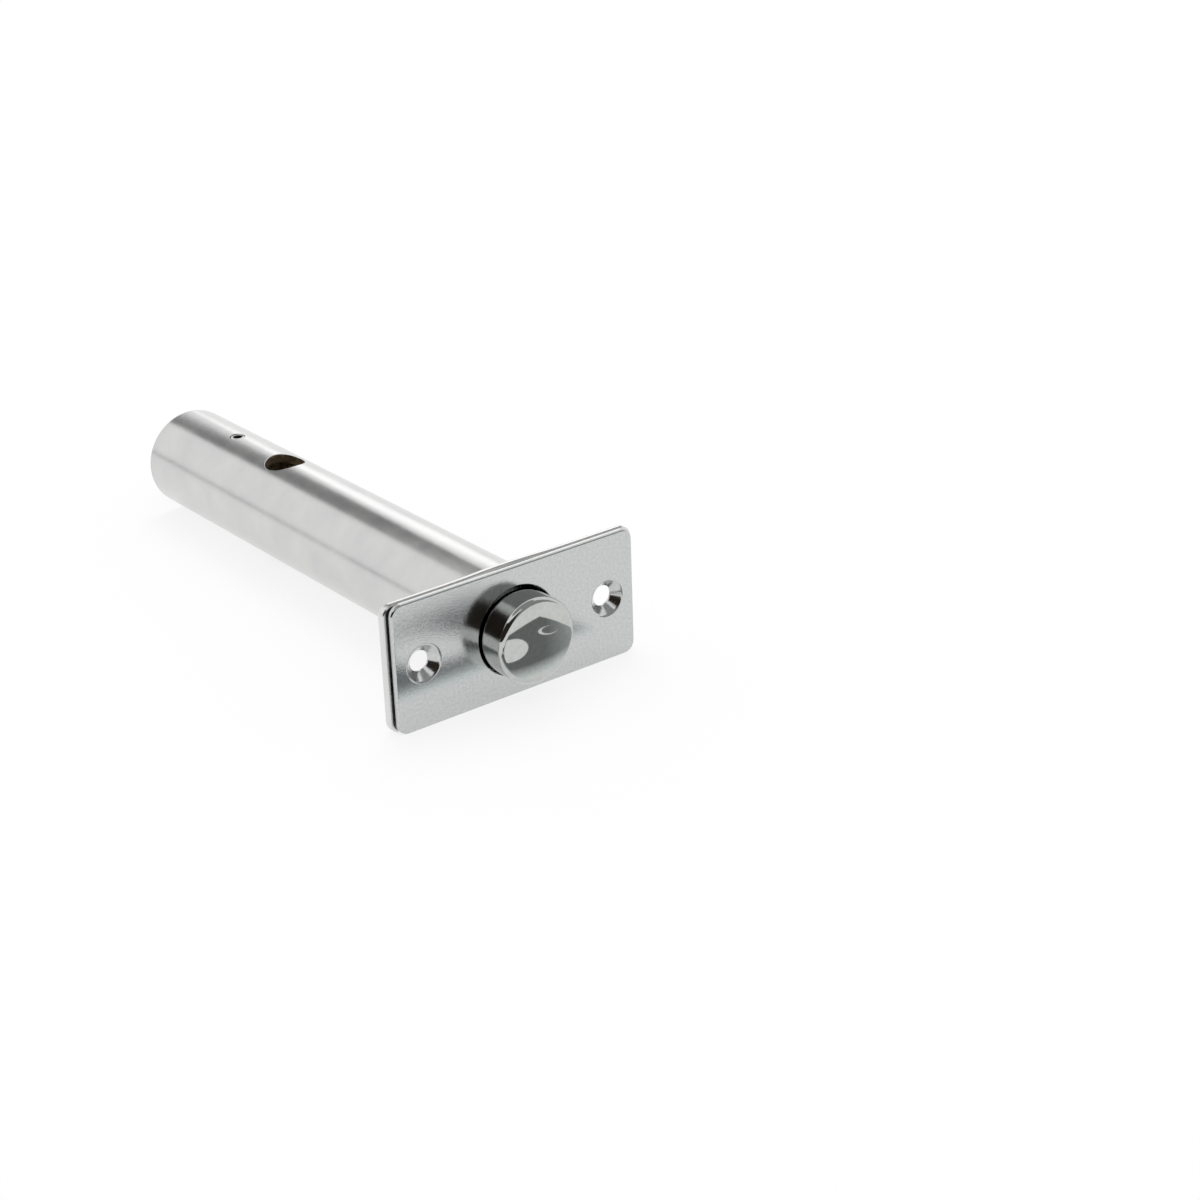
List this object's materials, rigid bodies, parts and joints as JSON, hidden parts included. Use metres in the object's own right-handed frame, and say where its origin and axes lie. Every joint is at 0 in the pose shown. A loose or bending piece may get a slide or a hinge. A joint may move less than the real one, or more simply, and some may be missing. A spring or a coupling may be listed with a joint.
{
  "type": "rack bolt",
  "caption": "Door rack bolt: a round bolt with rack teeth slides in a tubular barrel behind a faceplate with countersunk screw holes, wound by a splined key through the barrel.",
  "frame": {"origin": "middle of the front plate's outer face, on the axis of the barrel and midway between the two screw holes", "axes": "+X along the faceplate from screw hole to screw hole, +Y back along the barrel into the door, +Z across the faceplate, along the key"},
  "size_m": [0.0536, 0.1201, 0.0244],
  "materials": {
    "barrel_satin": "satin chrome plate on steel tube",
    "inner_plate_satin": "satin chrome plate",
    "front_plate_chrome": "bright chrome plate with a fine pebbled grain",
    "bolt_chrome": "mirror chrome plate",
    "spring_steel": "plain spring steel",
    "ball_steel": "ground steel ball"
  },
  "bodies": {
    "barrel": {"barrel_tube": "barrel_satin", "inner_plate": "inner_plate_satin", "front_plate": "front_plate_chrome", "guide_pin": "spring_steel"},
    "bolt": {"bolt_bar": "bolt_chrome", "detent_ball": "ball_steel", "detent_spring": "spring_steel"}
  },
  "joints": [
    {"name": "bolt_slide", "type": "slide", "parent": "barrel", "child": "bolt", "axis": [0, -1, 0], "range_m": [-0.0064, 0.0046]}
  ]
}
